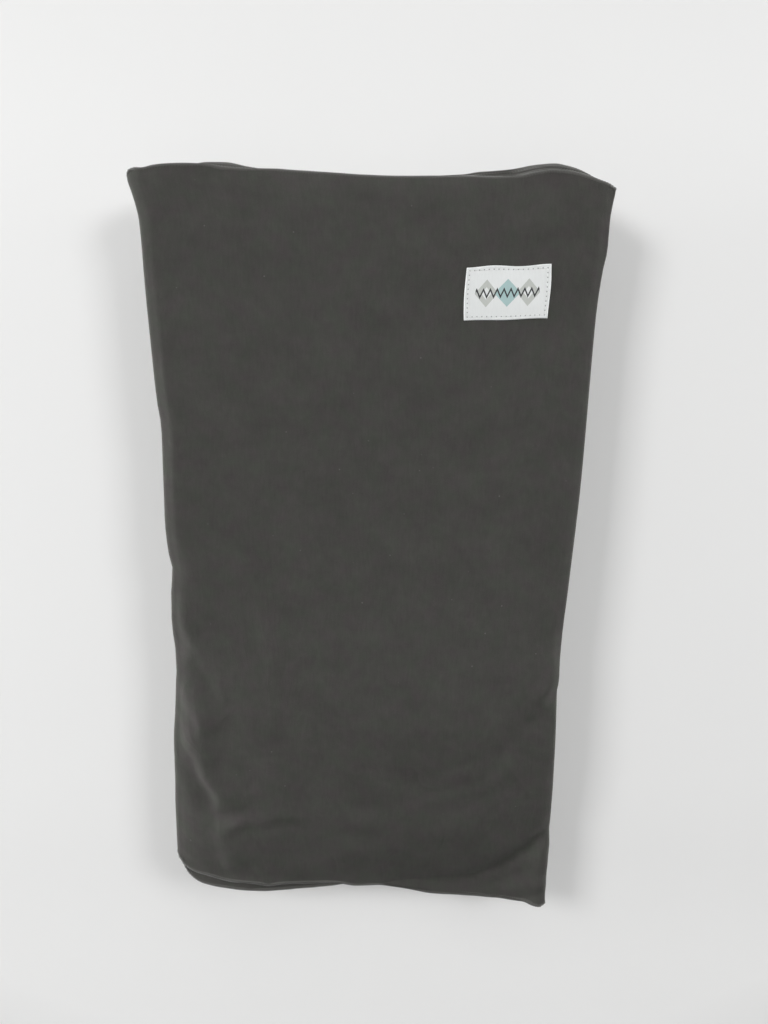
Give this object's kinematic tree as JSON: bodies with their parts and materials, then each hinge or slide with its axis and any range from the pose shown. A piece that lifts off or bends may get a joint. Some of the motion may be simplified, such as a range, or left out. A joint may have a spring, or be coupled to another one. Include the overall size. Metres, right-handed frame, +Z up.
{
  "type": "baby wrap sling",
  "caption": "Stretch-jersey baby wrap sling, a long cloth band folded in a flat zigzag bundle and hung by its upper edge, with a stitched woven label on the front.",
  "frame": {"origin": "on the upper edge, midway between the two places where hanger clips grip it, in the middle of the folded stack", "axes": "+Z up with the bundle hanging, -Y out of the labelled front, +X to the right as the front is looked at"},
  "size_m": [0.3112, 0.0238, 0.5144],
  "materials": {
    "jersey": "brushed cotton jersey, warm charcoal, matte with a light bloom",
    "edge_thread": "textured overlock thread, charcoal, matte",
    "label_weave": "damask-woven label, off-white, low sheen",
    "label_thread": "pale grey sewing thread",
    "satin_tape": "blank white satin tape, soft sheen"
  },
  "bodies": {
    "root": {"wrap_cloth": "jersey", "upper_edge_overlock": "edge_thread", "lower_edge_overlock": "edge_thread", "long_tail_overlock": "edge_thread", "short_tail_overlock": "edge_thread", "centre_label": "label_weave", "label_stitching": "label_thread", "care_tag": "satin_tape", "care_tag_stitching": "label_thread"}
  },
  "joints": []
}
